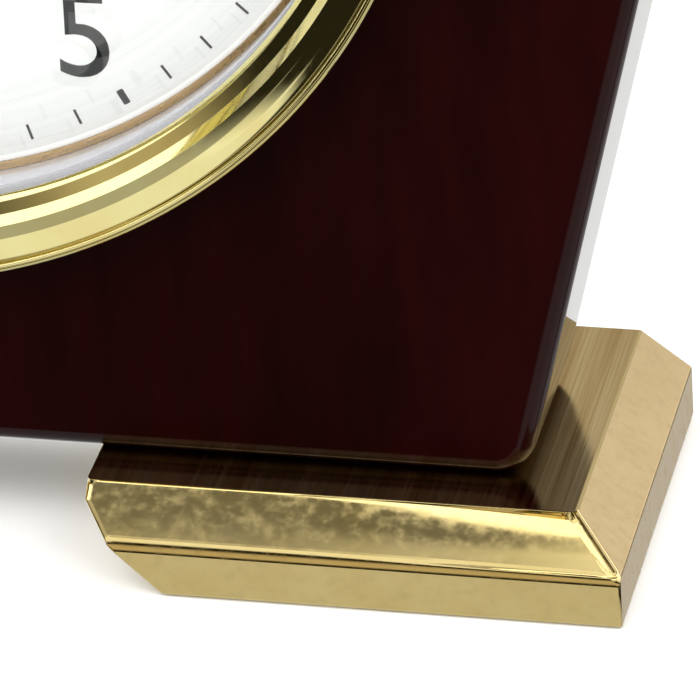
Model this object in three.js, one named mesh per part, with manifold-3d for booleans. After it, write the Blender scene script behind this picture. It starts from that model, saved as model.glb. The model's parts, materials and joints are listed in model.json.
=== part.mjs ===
// Mantel clock: a keystone-shaped, high-gloss wooden slab that leans back a little on two
// bevelled brass feet. A brass-bezelled quartz insert fills a round bore in the slab.
// Millimetres, +Z up, the dial faces -Y. The origin is on the table, under the middle
// of the whole clock.

import * as THREE from 'three';
import { mergeVertices } from 'three/addons/utils/BufferGeometryUtils.js';
import Module from 'manifold-3d';

const wasm = await Module();
wasm.setup();

// ---- Driving dimensions -------------------------------------------------------------

const GAP = 0.3; // air between neighbouring pieces
const BIG = 400; // reach of the tool bodies that cut right through

// Wooden case, measured in its own leaning plane
const LEAN = THREE.MathUtils.degToRad(5.4);
const CASE_HEIGHT = 157;
const CASE_THICKNESS = 21;
const CASE_FOOT_HALF_WIDTH = 65.6;
const CASE_FLARE = THREE.MathUtils.degToRad(13.2); // how far each side leans outwards
const CASE_CORNER_RADIUS = 4;
const CASE_EDGE_ROUND = 2;
const DIAL_HEIGHT = 79; // dial centre above the bottom edge
const CASE_BORE_RADIUS = 57;

// Brass feet
const PAD_PROUD = 0.3;
const FOOT_HEIGHT = 9.5;
const FOOT_FACE_HEIGHT = 5.5; // upright face below the bevel
const FOOT_INNER_X = 22.6;
const FOOT_OUTER_X = 71.5;
const FOOT_FRONT_Y = -5;
const FOOT_BACK_Y = 29.6;
const FOOT_BEVEL = 5.1;
const FOOT_UNDERCUT = 8.2; // the inner end slopes in by this much, up to FOOT_UNDERCUT_TOP
const FOOT_UNDERCUT_TOP = 8;
const FOOT_TOP = PAD_PROUD + FOOT_HEIGHT;
const PAD_AREA = { x: [35, 73], y: [-7, 25] };
const PAD_THICKNESS = 0.9;

// Countersunk from below, up through each foot into the wood
const FOOT_SCREW = { x: [40, 60], y: 10, shank: 1.5, head: 3, headBottom: 1.4, headTop: 3, tip: 21 };
const SCREW_HOLE_DEPTH = 24;

// Insert: depths are measured backwards from the front face of the wood
const BEZEL_RADIUS = 60;
const BEZEL_PROUD = 4.5;
const BEZEL_LIP_RADIUS = 53.6;
const BEZEL_LIP_BACK = -0.7;
const BEZEL_SEAT_RADIUS = 55.8;
const BEZEL_SKIRT_RADIUS = CASE_BORE_RADIUS - 0.4; // runs back inside the bore
const BEZEL_SKIRT_BACK = 9;
const INSERT_RADIUS = 55.4; // everything that drops into the bezel
const LENS_FRONT = 0.3;
const LENS_THICKNESS = 1;
const DIAL_FRONT = 6.8;
const DIAL_THICKNESS = 0.6;
const DIAL_HOLE_RADIUS = 4.2;
const HOUSING_BACK = 20.7;
const HOUSING_WALL = 1.4;
const HOUSING_FLOOR = 1.2;
const WINDOW_HALF = 28.6; // square opening that the movement stands in
const WINDOW_CORNER = 3;
const BACK_PLATE_RADIUS = 65;
const BACK_PLATE_THICKNESS = 2;
const BACK_SCREW = { circle: 61, shank: 1, head: 2.8, headHeight: 1.6, reach: 8 };

// Movement: depths are measured backwards from its front face
const MOVEMENT_FRONT = 8.5;
const MOVEMENT_HALF = 28;
const MOVEMENT_CORNER = 2;
const MOVEMENT_DEPTH = 15.5;
const MOVEMENT_SPLIT = 8; // joint line between the front and rear shells
const WALL = 1;
const BATTERY_RADIUS = 7.1;
const BATTERY_Z = -19.4;
const DIVIDER_Z = -11.5; // wall between the wheels and the battery

// Motion work (hands) and going train (seconds)
const MOTION_MODULE = 0.5;
const HOUR_MODULE = 0.48;
const SECOND_MODULE = 0.5;
const ROTOR_MODULE = 0.45;
const TEETH = {
  cannon: 12,
  motionWheel: 36,
  motionPinion: 10,
  hour: 40,
  setting: 12,
  second: 40,
  thirdPinion: 8,
  thirdWheel: 36,
  rotorPinion: 6,
};
const MOTION_DIRECTION = 180; // degrees, anticlockwise from +X seen from the front
const SETTING_DIRECTION = 120;
const THIRD_DIRECTION = 100;
const ROTOR_DIRECTION = 60;
const SECOND_ARBOR_RADIUS = 0.45;
const MINUTE_TUBE_RADIUS = 1.25;
const HOUR_TUBE_RADIUS = 2.2;
const BUSHING_RADIUS = 3.8;

// Hands, as the time they show at rest
const HOUR_HAND_LENGTH = 30;
const MINUTE_HAND_LENGTH = 44;
const SECOND_HAND_LENGTH = 47;
const TIME = { hours: 10, minutes: 9, seconds: 36 };

const RING_SEGMENTS = 48;
const SMALL_SEGMENTS = 16;

// ---- Materials ----------------------------------------------------------------------

function finish(color, roughness, metalness) {
  return new THREE.MeshStandardMaterial({ color, roughness, metalness });
}

const glossWood = () => finish(0x2a0508, 0.08, 0);
const polishedBrass = () => finish(0xd9b96a, 0.15, 1);
const brushedBrass = () => finish(0xc5a878, 0.35, 1);
const silverDial = () => finish(0xe2e6e4, 0.4, 0.6);
const blackPlastic = () => finish(0x141414, 0.5, 0);
const whitePlastic = () => finish(0xe8e6dd, 0.5, 0);
const blackMetal = () => finish(0x0c0c0d, 0.3, 0.8);
const steel = () => finish(0xb8bcc0, 0.35, 1);
const felt = () => finish(0x20251f, 0.95, 0);
const rubber = () => finish(0x18181a, 0.9, 0);
const copper = () => finish(0xb0622c, 0.4, 1);
const boardGreen = () => finish(0x1f6a3a, 0.6, 0);
const batterySkin = () => finish(0x2f3a46, 0.4, 0.3);

function glass() {
  const material = finish(0xffffff, 0.02, 0);
  material.transparent = true;
  material.opacity = 0.25;
  return material;
}

// ---- Geometry helpers -----------------------------------------------------------------

// Shared vertices merged, and the slivers that lie on a turning axis dropped.
function weld(geometry) {
  geometry.deleteAttribute('normal');
  geometry.deleteAttribute('uv');
  const welded = mergeVertices(geometry);
  const corners = welded.index.array;
  const kept = [];
  for (let i = 0; i < corners.length; i += 3) {
    const [a, b, c] = [corners[i], corners[i + 1], corners[i + 2]];
    if (a !== b && b !== c && c !== a) {
      kept.push(a, b, c);
    }
  }
  welded.setIndex(kept);
  return welded;
}

function toSolid(geometry) {
  const welded = weld(geometry);
  return new wasm.Manifold(new wasm.Mesh({
    numProp: 3,
    vertProperties: new Float32Array(welded.attributes.position.array),
    triVerts: new Uint32Array(welded.index.array),
  }));
}

function toGeometry(solid) {
  const mesh = solid.getMesh();
  const geometry = new THREE.BufferGeometry();
  geometry.setAttribute('position', new THREE.BufferAttribute(mesh.vertProperties, 3));
  geometry.setIndex(new THREE.BufferAttribute(mesh.triVerts, 1));
  geometry.computeVertexNormals();
  return geometry;
}

function cut(geometry, ...tools) {
  return toGeometry(tools.reduce((solid, tool) => solid.subtract(toSolid(tool)), toSolid(geometry)));
}

function join(geometry, ...others) {
  return toGeometry(others.reduce((solid, other) => solid.add(toSolid(other)), toSolid(geometry)));
}

function intersect(geometry, other) {
  return toGeometry(toSolid(geometry).intersect(toSolid(other)));
}

// A section of [radius, depth] corners turned about the depth axis (Y).
function turned(section, segments = RING_SEGMENTS) {
  return weld(new THREE.LatheGeometry(section.map(([r, y]) => new THREE.Vector2(r, y)), segments));
}

function ring(innerRadius, outerRadius, front, back, segments = RING_SEGMENTS) {
  return turned([
    [innerRadius, front],
    [outerRadius, front],
    [outerRadius, back],
    [innerRadius, back],
    [innerRadius, front],
  ], segments);
}

function disc(radius, front, back, segments = RING_SEGMENTS) {
  return turned([[0, front], [radius, front], [radius, back], [0, back]], segments);
}

// A round bar along the depth axis through the point (x, z).
function bar(radius, front, back, [x, z] = [0, 0], segments = SMALL_SEGMENTS) {
  return disc(radius, front, back, segments).translate(x, 0, z);
}

// A flat shape drawn in (x, z) and given a thickness from front to back.
function plate(shape, front, back, curveSegments = 6) {
  const options = { depth: back - front, bevelEnabled: false, curveSegments };
  return weld(new THREE.ExtrudeGeometry(shape, options).rotateX(Math.PI / 2).translate(0, back, 0));
}

function block(x0, x1, y0, y1, z0, z1) {
  const box = new THREE.BoxGeometry(x1 - x0, y1 - y0, z1 - z0);
  return weld(box.translate((x0 + x1) / 2, (y0 + y1) / 2, (z0 + z1) / 2));
}

// A closed outline through the corners, each rounded to the same radius.
function roundedOutline(corners, radius) {
  const shape = new THREE.Shape();
  corners.forEach((corner, index) => {
    const before = corners[(index + corners.length - 1) % corners.length];
    const after = corners[(index + 1) % corners.length];
    const toBefore = before.clone().sub(corner).normalize();
    const toAfter = after.clone().sub(corner).normalize();
    const halfAngle = Math.acos(toBefore.dot(toAfter)) / 2;
    const setback = radius / Math.tan(halfAngle);
    const start = corner.clone().addScaledVector(toBefore, setback);
    const end = corner.clone().addScaledVector(toAfter, setback);
    const bisector = toBefore.clone().add(toAfter).normalize();
    const centre = corner.clone().addScaledVector(bisector, radius / Math.sin(halfAngle));
    const from = start.clone().sub(centre).angle();
    const to = end.clone().sub(centre).angle();
    shape.absarc(centre.x, centre.y, radius, from, to, false);
  });
  return shape;
}

function roundedRectangle(halfWidth, halfHeight, radius) {
  return roundedOutline([
    new THREE.Vector2(-halfWidth, -halfHeight),
    new THREE.Vector2(halfWidth, -halfHeight),
    new THREE.Vector2(halfWidth, halfHeight),
    new THREE.Vector2(-halfWidth, halfHeight),
  ], radius);
}

function polar(radius, degrees, [x, z] = [0, 0]) {
  const angle = THREE.MathUtils.degToRad(degrees);
  return [x + radius * Math.cos(angle), z + radius * Math.sin(angle)];
}

function add(parent, name, geometry, material) {
  const mesh = new THREE.Mesh(geometry, material);
  mesh.name = name;
  parent.add(mesh);
  return mesh;
}

// ---- Scene graph: feet stand level, the clock group leans back on top of them -------------

const mantelClock = new THREE.Group();
const clock = new THREE.Group(); // front bottom edge of the wood, leaning plane
clock.position.z = FOOT_TOP + GAP;
clock.rotation.x = -LEAN;
clock.updateMatrix();
mantelClock.add(clock);
const insert = new THREE.Group(); // dial centre, on the front face of the wood
insert.position.z = DIAL_HEIGHT;
clock.add(insert);
const movement = new THREE.Group(); // front face of the movement
movement.position.y = MOVEMENT_FRONT;
insert.add(movement);

// ---- Wooden case ------------------------------------------------------------------------

// The slab is wider at the top. Its bottom face is level, so towards the back it rises a
// little in the leaning plane, and that rise fades out to nothing at the top.
function slab() {
  const topHalfWidth = CASE_FOOT_HALF_WIDTH + CASE_HEIGHT * Math.tan(CASE_FLARE);
  const outline = roundedOutline([
    new THREE.Vector2(-CASE_FOOT_HALF_WIDTH, 0),
    new THREE.Vector2(CASE_FOOT_HALF_WIDTH, 0),
    new THREE.Vector2(topHalfWidth, CASE_HEIGHT),
    new THREE.Vector2(-topHalfWidth, CASE_HEIGHT),
  ], CASE_CORNER_RADIUS);
  const geometry = new THREE.ExtrudeGeometry(outline, {
    depth: CASE_THICKNESS - 2 * CASE_EDGE_ROUND,
    bevelThickness: CASE_EDGE_ROUND,
    bevelSize: CASE_EDGE_ROUND,
    bevelOffset: -CASE_EDGE_ROUND,
    bevelSegments: 2,
    curveSegments: 5,
  });
  geometry.rotateX(Math.PI / 2).translate(0, CASE_THICKNESS - CASE_EDGE_ROUND, 0);
  const position = geometry.attributes.position;
  for (let i = 0; i < position.count; i += 1) {
    const rise = position.getY(i) * Math.tan(LEAN) * (1 - position.getZ(i) / CASE_HEIGHT);
    position.setZ(i, position.getZ(i) + rise);
  }
  return geometry;
}

function footScrewHole(x) {
  const hole = bar(FOOT_SCREW.shank + GAP, 0, SCREW_HOLE_DEPTH).rotateX(Math.PI / 2);
  return hole.translate(x, FOOT_SCREW.y, 0).applyMatrix4(clock.matrix.clone().invert());
}

function backScrewPlaces() {
  return [45, 135, 225, 315].map((degrees) => polar(BACK_SCREW.circle, degrees));
}

function caseBody() {
  const bore = disc(CASE_BORE_RADIUS, -BIG, BIG).translate(0, 0, DIAL_HEIGHT);
  const pilots = backScrewPlaces().map((place) => (
    bar(BACK_SCREW.shank + GAP, CASE_THICKNESS - BACK_SCREW.reach - 1, BIG, place, 12)
      .translate(0, 0, DIAL_HEIGHT)
  ));
  const footHoles = FOOT_SCREW.x.flatMap((x) => [footScrewHole(x), footScrewHole(-x)]);
  return cut(slab(), bore, ...pilots, ...footHoles);
}

add(clock, 'case_body', caseBody(), glossWood());

// ---- Feet ---------------------------------------------------------------------------------

// Section across the clock: bevelled outer side, undercut inner end.
function footAcross() {
  const shape = new THREE.Shape([
    new THREE.Vector2(FOOT_INNER_X + FOOT_UNDERCUT, 0),
    new THREE.Vector2(FOOT_OUTER_X + FOOT_BEVEL, 0),
    new THREE.Vector2(FOOT_OUTER_X + FOOT_BEVEL, FOOT_FACE_HEIGHT),
    new THREE.Vector2(FOOT_OUTER_X, FOOT_HEIGHT),
    new THREE.Vector2(FOOT_INNER_X, FOOT_HEIGHT),
    new THREE.Vector2(FOOT_INNER_X, FOOT_UNDERCUT_TOP),
  ]);
  return plate(shape, -BIG, BIG);
}

// Section from front to back: bevelled front, upright back. Drawn in (y, z), then turned.
function footAlong() {
  const shape = new THREE.Shape([
    new THREE.Vector2(FOOT_FRONT_Y - FOOT_BEVEL, 0),
    new THREE.Vector2(FOOT_BACK_Y, 0),
    new THREE.Vector2(FOOT_BACK_Y, FOOT_HEIGHT),
    new THREE.Vector2(FOOT_FRONT_Y, FOOT_HEIGHT),
    new THREE.Vector2(FOOT_FRONT_Y - FOOT_BEVEL, FOOT_FACE_HEIGHT),
  ]);
  return plate(shape, -BIG, BIG).rotateZ(Math.PI / 2);
}

// A round bar standing where a foot screw stands.
function upright(radius, bottom, top, x) {
  return bar(radius, -top, -bottom, [0, 0], 16).rotateX(-Math.PI / 2).translate(x, FOOT_SCREW.y, 0);
}

function foot() {
  const { x, y } = PAD_AREA;
  const recess = block(x[0] - GAP, x[1] + GAP, y[0] - GAP, y[1] + GAP, -1, PAD_THICKNESS);
  const counterbore = FOOT_SCREW.headTop + GAP - PAD_PROUD + 0.1;
  const holes = FOOT_SCREW.x.flatMap((place) => [
    upright(FOOT_SCREW.shank + GAP, -1, BIG, place),
    upright(FOOT_SCREW.head + GAP, -1, counterbore, place),
  ]);
  return cut(intersect(footAcross(), footAlong()), recess, ...holes);
}

function footPad() {
  const { x, y } = PAD_AREA;
  return block(x[0], x[1], y[0], y[1], 0, PAD_THICKNESS);
}

function footScrew(x) {
  const { shank, head, headBottom, headTop, tip } = FOOT_SCREW;
  return join(upright(head, headBottom, headTop, x), upright(shank, headTop - 0.5, tip, x));
}

function mirrored(geometry) {
  return toGeometry(toSolid(geometry).mirror([1, 0, 0]));
}

function addFeet() {
  const sides = [['left', mirrored], ['right', (geometry) => geometry]];
  let screwNumber = 1;
  for (const [side, place] of sides) {
    const brass = add(mantelClock, `foot_${side}`, place(foot()), brushedBrass());
    brass.position.z = PAD_PROUD;
    add(mantelClock, `foot_pad_${side}`, place(footPad()), felt());
    for (const x of FOOT_SCREW.x) {
      add(mantelClock, `foot_screw_${screwNumber}`, place(footScrew(x)), steel());
      screwNumber += 1;
    }
  }
}

addFeet();

// ---- Bezel, glass and dial ----------------------------------------------------------------

// From the lens outwards: a narrow lip, two steep steps, a broad dished band, then the rim.
function bezel() {
  return turned([
    [BEZEL_LIP_RADIUS, BEZEL_LIP_BACK],
    [BEZEL_RADIUS - 5.7, -1.05],
    [BEZEL_RADIUS - 4.5, -1.35],
    [BEZEL_RADIUS - 3.8, -2.6],
    [BEZEL_RADIUS - 2.8, -3.45],
    [BEZEL_RADIUS - 0.9, -BEZEL_PROUD],
    [BEZEL_RADIUS, -BEZEL_PROUD],
    [BEZEL_RADIUS, -GAP],
    [BEZEL_SKIRT_RADIUS, -GAP],
    [BEZEL_SKIRT_RADIUS, BEZEL_SKIRT_BACK],
    [BEZEL_SEAT_RADIUS, BEZEL_SKIRT_BACK],
    [BEZEL_SEAT_RADIUS, BEZEL_LIP_BACK],
    [BEZEL_LIP_RADIUS, BEZEL_LIP_BACK],
  ]);
}

// Upright silvered wall between the lens and the dial, with a narrow gilt step at its foot.
function dialRing() {
  const front = LENS_FRONT + LENS_THICKNESS + GAP;
  return turned([
    [INSERT_RADIUS - 1.8, front + 0.3],
    [INSERT_RADIUS - 0.8, front],
    [INSERT_RADIUS, front],
    [INSERT_RADIUS, DIAL_FRONT - GAP],
    [INSERT_RADIUS - 2.4, DIAL_FRONT - GAP],
    [INSERT_RADIUS - 1.8, DIAL_FRONT - 0.8],
    [INSERT_RADIUS - 1.8, front + 0.3],
  ]);
}

function dial() {
  return ring(DIAL_HOLE_RADIUS, INSERT_RADIUS, DIAL_FRONT, DIAL_FRONT + DIAL_THICKNESS);
}

function insertHousing() {
  const front = DIAL_FRONT + DIAL_THICKNESS + GAP;
  const cup = turned([
    [0, HOUSING_BACK - HOUSING_FLOOR],
    [INSERT_RADIUS - HOUSING_WALL, HOUSING_BACK - HOUSING_FLOOR],
    [INSERT_RADIUS - HOUSING_WALL, front],
    [INSERT_RADIUS, front],
    [INSERT_RADIUS, HOUSING_BACK],
    [0, HOUSING_BACK],
  ]);
  return cut(cup, plate(roundedRectangle(WINDOW_HALF, WINDOW_HALF, WINDOW_CORNER), 0, BIG, 3));
}

function lensGasket() {
  return ring(BEZEL_LIP_RADIUS + 0.1, INSERT_RADIUS, BEZEL_LIP_BACK + GAP, LENS_FRONT - GAP);
}

add(insert, 'bezel', bezel(), polishedBrass());
add(insert, 'lens', disc(INSERT_RADIUS, LENS_FRONT, LENS_FRONT + LENS_THICKNESS), glass());
add(insert, 'lens_gasket', lensGasket(), rubber());
add(insert, 'dial_ring', dialRing(), polishedBrass());
add(insert, 'dial', dial(), silverDial());
add(insert, 'insert_housing', insertHousing(), blackPlastic());

// ---- Back plate -----------------------------------------------------------------------------

const PLATE_FRONT = CASE_THICKNESS + GAP;
const PLATE_BACK = PLATE_FRONT + BACK_PLATE_THICKNESS;

function backPlate() {
  const window = plate(roundedRectangle(WINDOW_HALF, WINDOW_HALF, WINDOW_CORNER), 0, BIG, 3);
  const holes = backScrewPlaces().map((place) => bar(BACK_SCREW.shank + 0.7, 0, BIG, place, 16));
  return cut(disc(BACK_PLATE_RADIUS, PLATE_FRONT, PLATE_BACK), window, ...holes);
}

function backScrew(place) {
  const { shank, head, headHeight, reach } = BACK_SCREW;
  const underHead = PLATE_BACK + GAP;
  const shaft = bar(shank, CASE_THICKNESS - reach, underHead + headHeight / 3, place, 12);
  return join(bar(head, underHead, underHead + headHeight, place, 16), shaft);
}

add(insert, 'back_plate', backPlate(), blackPlastic());
backScrewPlaces().forEach((place, index) => {
  add(insert, `back_screw_${index + 1}`, backScrew(place), steel());
});

// ---- Movement: where the wheels stand ---------------------------------------------------------

const CENTRE = [0, 0];
const CENTRE_DISTANCE = {
  motion: (MOTION_MODULE * (TEETH.cannon + TEETH.motionWheel)) / 2,
  setting: (MOTION_MODULE * (TEETH.setting + TEETH.motionWheel)) / 2,
  third: (SECOND_MODULE * (TEETH.second + TEETH.thirdPinion)) / 2,
  rotor: (ROTOR_MODULE * (TEETH.thirdWheel + TEETH.rotorPinion)) / 2,
};
const MOTION = polar(CENTRE_DISTANCE.motion, MOTION_DIRECTION);
const SETTING = polar(CENTRE_DISTANCE.setting, SETTING_DIRECTION, MOTION);
const THIRD = polar(CENTRE_DISTANCE.third, THIRD_DIRECTION);
const ROTOR = polar(CENTRE_DISTANCE.rotor, ROTOR_DIRECTION, THIRD);
const PIVOT = { radius: 0.5, front: 0.5, back: 9.4 };
const BRIDGE = { front: 8.8, back: 9.8 };

// Straight-sided teeth with room to spare, one of them centred on toothDirection.
function gear(teeth, module, toothDirection, front, back, [x, z] = CENTRE) {
  const pitchRadius = (teeth * module) / 2;
  const root = pitchRadius - 1.1 * module;
  const tip = pitchRadius + 0.8 * module;
  const flank = [[-0.28, root], [-0.11, tip], [0.11, tip], [0.28, root]];
  const points = [];
  for (let tooth = 0; tooth < teeth; tooth += 1) {
    for (const [share, radius] of flank) {
      const [px, pz] = polar(radius, toothDirection + ((tooth + share) * 360) / teeth);
      points.push(new THREE.Vector2(px, pz));
    }
  }
  return plate(new THREE.Shape(points), front, back).translate(x, 0, z);
}

// Direction of the tooth next to the gap that faces the mating wheel.
function meshing(teeth, directionToMate) {
  return directionToMate + 180 / teeth;
}

// ---- Movement: shells, bridge and electrics -------------------------------------------------

function movementBlock(front, back) {
  return plate(roundedRectangle(MOVEMENT_HALF, MOVEMENT_HALF, MOVEMENT_CORNER), front, back, 3);
}

function frontShell() {
  const inner = MOVEMENT_HALF - WALL;
  const trainRoom = block(-inner, inner, WALL, BIG, DIVIDER_Z + WALL / 2, inner);
  const batteryRoom = block(-inner, inner, WALL, BIG, -inner, DIVIDER_Z - WALL / 2);
  const bushing = bar(BUSHING_RADIUS, -3, WALL / 2, CENTRE, 24);
  const bushingBore = bar(HOUR_TUBE_RADIUS + 0.4, -BIG, BIG, CENTRE, 24);
  const pits = [MOTION, THIRD, ROTOR, SETTING].map((place) => (
    bar(PIVOT.radius + GAP, PIVOT.front - 0.1, BIG, place, 12)
  ));
  const tray = cut(movementBlock(0, MOVEMENT_SPLIT), trainRoom, batteryRoom);
  return cut(join(tray, bushing), bushingBore, ...pits);
}

function rearShell() {
  const inner = MOVEMENT_HALF - WALL;
  const front = MOVEMENT_SPLIT + GAP;
  const floor = MOVEMENT_DEPTH - 1.2;
  const trainRoom = block(-inner, inner, 0, floor, DIVIDER_Z + WALL / 2, inner);
  const batteryRoom = block(-inner, inner, 0, BIG, -inner, DIVIDER_Z - WALL / 2);
  const stemHole = bar(1.8, 0, BIG, SETTING, 16);
  return cut(movementBlock(front, MOVEMENT_DEPTH), trainRoom, batteryRoom, stemHole);
}

function trainBridge() {
  const board = block(-9.5, 26, BRIDGE.front, BRIDGE.back, DIVIDER_Z + 1, 26);
  const pivotHoles = [CENTRE, THIRD, ROTOR].map((place) => bar(PIVOT.radius + GAP, 0, BIG, place, 12));
  return cut(board, ...pivotHoles);
}

function stator() {
  const board = block(-22, 9, 2.4, 3.4, 16.6, 24.2);
  return cut(board, bar(3.2, 0, BIG, ROTOR, 24));
}

// Winding between two square flanges.
function coil() {
  const [x0, x1, centreY, centreZ] = [-23, -10, 6.7, 20.5];
  const winding = new THREE.CylinderGeometry(2.6, 2.6, x1 - x0 - 1, SMALL_SEGMENTS);
  winding.rotateZ(Math.PI / 2).translate((x0 + x1) / 2, centreY, centreZ);
  const flange = (x) => block(x, x + 1, centreY - 3, centreY + 3, centreZ - 3, centreZ + 3);
  return join(winding, flange(x0), flange(x1 - 1));
}

function batteryContact(x) {
  return block(x, x + 0.5, 2, 12.5, BATTERY_Z - 5, BATTERY_Z + 5);
}

function quartzCrystal() {
  return weld(new THREE.CylinderGeometry(0.9, 0.9, 7, 16).rotateX(Math.PI / 2).translate(18, 11.6, 10));
}

function mountingNut() {
  return cut(disc(6.4, -2.9, -2, 6), bar(BUSHING_RADIUS + GAP, -BIG, BIG, CENTRE, 24));
}

add(movement, 'movement_front_shell', frontShell(), blackPlastic());
add(movement, 'movement_rear_shell', rearShell(), blackPlastic());
add(movement, 'train_bridge', trainBridge(), whitePlastic());
add(movement, 'mounting_nut', mountingNut(), polishedBrass());
add(movement, 'rubber_washer', ring(BUSHING_RADIUS + GAP, 8, -0.8, -GAP, 32), rubber());
add(movement, 'stator', stator(), steel());
add(movement, 'coil', coil(), copper());
add(movement, 'circuit_board', block(4, 25.5, 12.8, 13.6, -9.5, 25.5), boardGreen());
add(movement, 'quartz_crystal', quartzCrystal(), steel());
add(movement, 'contact_positive', batteryContact(25.8), steel());
add(movement, 'contact_negative', batteryContact(-26.3), steel());

// ---- Motion work: minute, hour, motion wheel and setting knob -----------------------------------

function cannonPinion() {
  const pinion = gear(TEETH.cannon, MOTION_MODULE, MOTION_DIRECTION, 2.9, 4.1);
  const tube = bar(MINUTE_TUBE_RADIUS, -4.7, 4.1);
  return cut(join(pinion, tube), bar(SECOND_ARBOR_RADIUS + GAP, -BIG, BIG));
}

function hourWheel() {
  const wheel = gear(TEETH.hour, HOUR_MODULE, MOTION_DIRECTION, 1.5, 2.5);
  const tube = bar(HOUR_TUBE_RADIUS, -4, 2.5);
  return cut(join(wheel, tube), bar(MINUTE_TUBE_RADIUS + 0.35, -BIG, BIG));
}

function motionWheel() {
  const towardsCentre = MOTION_DIRECTION - 180;
  const pinion = gear(
    TEETH.motionPinion, HOUR_MODULE, meshing(TEETH.motionPinion, towardsCentre), 1.4, 3.5, MOTION,
  );
  const wheel = gear(
    TEETH.motionWheel, MOTION_MODULE, meshing(TEETH.motionWheel, towardsCentre), 3.1, 3.9, MOTION,
  );
  return join(pinion, wheel, bar(PIVOT.radius, PIVOT.front, 4.6, MOTION, 12));
}

function settingStem() {
  const pinion = gear(TEETH.setting, MOTION_MODULE, SETTING_DIRECTION + 180, 2.9, 4.1, SETTING);
  const shaft = bar(1.4, 2.9, 17, SETTING, 16);
  return join(pinion, shaft, bar(PIVOT.radius, PIVOT.front, 3.5, SETTING, 12));
}

// Finger knob with grip flutes round its edge and a blind bore for the stem.
function settingKnob() {
  const flutes = [];
  for (let i = 0; i < 12; i += 1) {
    flutes.push(bar(0.6, -1, BIG, polar(5.2, i * 30, SETTING), 8));
  }
  return cut(bar(5, 16, 19, SETTING, 24), bar(1.7, 0, 17.4, SETTING, 16), ...flutes);
}

// Flat hand drawn pointing to twelve, with a round hub and a hole for its tube.
function hand({ length, width, tail, hub, hole, front, back, clockwise }) {
  const blade = new THREE.Shape([
    new THREE.Vector2(-width / 3, -tail),
    new THREE.Vector2(width / 3, -tail),
    new THREE.Vector2(width / 2, length * 0.62),
    new THREE.Vector2(0, length),
    new THREE.Vector2(-width / 2, length * 0.62),
  ]);
  const body = join(plate(blade, front, back), bar(hub, front, back, CENTRE, 24));
  const finished = hole > 0 ? cut(body, bar(hole, -BIG, BIG)) : body;
  return finished.rotateY(THREE.MathUtils.degToRad(clockwise));
}

const SECOND_ANGLE = TIME.seconds * 6;
const MINUTE_ANGLE = (TIME.minutes + TIME.seconds / 60) * 6;
const HOUR_ANGLE = TIME.hours * 30 + MINUTE_ANGLE / 12;

add(movement, 'hour_wheel', hourWheel(), whitePlastic());
add(movement, 'hour_hand', hand({
  length: HOUR_HAND_LENGTH,
  width: 4.2,
  tail: 5,
  hub: 4,
  hole: HOUR_TUBE_RADIUS + GAP,
  front: -4,
  back: -3.6,
  clockwise: HOUR_ANGLE,
}), blackMetal());
add(movement, 'cannon_pinion', cannonPinion(), whitePlastic());
add(movement, 'minute_hand', hand({
  length: MINUTE_HAND_LENGTH,
  width: 3.2,
  tail: 6,
  hub: 3,
  hole: MINUTE_TUBE_RADIUS + GAP,
  front: -4.7,
  back: -4.3,
  clockwise: MINUTE_ANGLE,
}), blackMetal());
add(movement, 'motion_wheel', motionWheel(), whitePlastic());
add(movement, 'setting_stem', settingStem(), whitePlastic());
add(movement, 'setting_knob', settingKnob(), blackPlastic());

// ---- Going train: rotor, third wheel and second hand ----------------------------------------------

function secondWheel() {
  const wheel = gear(TEETH.second, SECOND_MODULE, THIRD_DIRECTION, 5, 5.8);
  return join(wheel, bar(SECOND_ARBOR_RADIUS, -5.15, PIVOT.back, CENTRE, 12));
}

function thirdWheel() {
  const towardsCentre = THIRD_DIRECTION + 180;
  const pinion = gear(
    TEETH.thirdPinion, SECOND_MODULE, meshing(TEETH.thirdPinion, towardsCentre), 4.8, 6.8, THIRD,
  );
  const wheel = gear(TEETH.thirdWheel, ROTOR_MODULE, ROTOR_DIRECTION, 6.4, 7.2, THIRD);
  return join(pinion, wheel, bar(PIVOT.radius, PIVOT.front, PIVOT.back, THIRD, 12));
}

function rotorShaft() {
  const towardsThird = ROTOR_DIRECTION + 180;
  const pinion = gear(
    TEETH.rotorPinion, ROTOR_MODULE, meshing(TEETH.rotorPinion, towardsThird), 6.2, 7.4, ROTOR,
  );
  return join(pinion, bar(PIVOT.radius, PIVOT.front, PIVOT.back, ROTOR, 12));
}

function rotorMagnet() {
  const [x, z] = ROTOR;
  return ring(PIVOT.radius + GAP, 2.6, 2, 4.2, SMALL_SEGMENTS).translate(x, 0, z);
}

// The second hand ends in a cap that closes over the arbor's front end.
function secondHand() {
  const blade = hand({
    length: SECOND_HAND_LENGTH,
    width: 1,
    tail: 13,
    hub: 2,
    hole: 0,
    front: -5.4,
    back: -5.1,
    clockwise: SECOND_ANGLE,
  });
  const arborHole = bar(SECOND_ARBOR_RADIUS + GAP, -5.4, BIG, CENTRE, 12);
  return cut(join(blade, bar(1.5, -5.7, -5, CENTRE)), arborHole);
}

add(movement, 'second_wheel', secondWheel(), whitePlastic());
add(movement, 'second_hand', secondHand(), blackMetal());
add(movement, 'third_wheel', thirdWheel(), whitePlastic());
add(movement, 'rotor_shaft', rotorShaft(), whitePlastic());
add(movement, 'rotor_magnet', rotorMagnet(), steel());

// ---- Battery: a cell lying across the movement, lifted out backwards ---------------------------------

function battery() {
  const section = [
    [0, -25.2],
    [BATTERY_RADIUS, -25.2],
    [BATTERY_RADIUS, 24.2],
    [2.7, 24.2],
    [2.7, 25.4],
    [0, 25.4],
  ];
  const cell = turned(section, 24).rotateZ(-Math.PI / 2);
  return cell.translate(0, MOVEMENT_DEPTH - BATTERY_RADIUS, BATTERY_Z);
}

add(movement, 'battery', battery(), batterySkin());

// ---- Stand the finished clock over the origin --------------------------------------------------------

const bounds = new THREE.Box3().setFromObject(mantelClock, true);
mantelClock.position.y = -(bounds.min.y + bounds.max.y) / 2;

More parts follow.
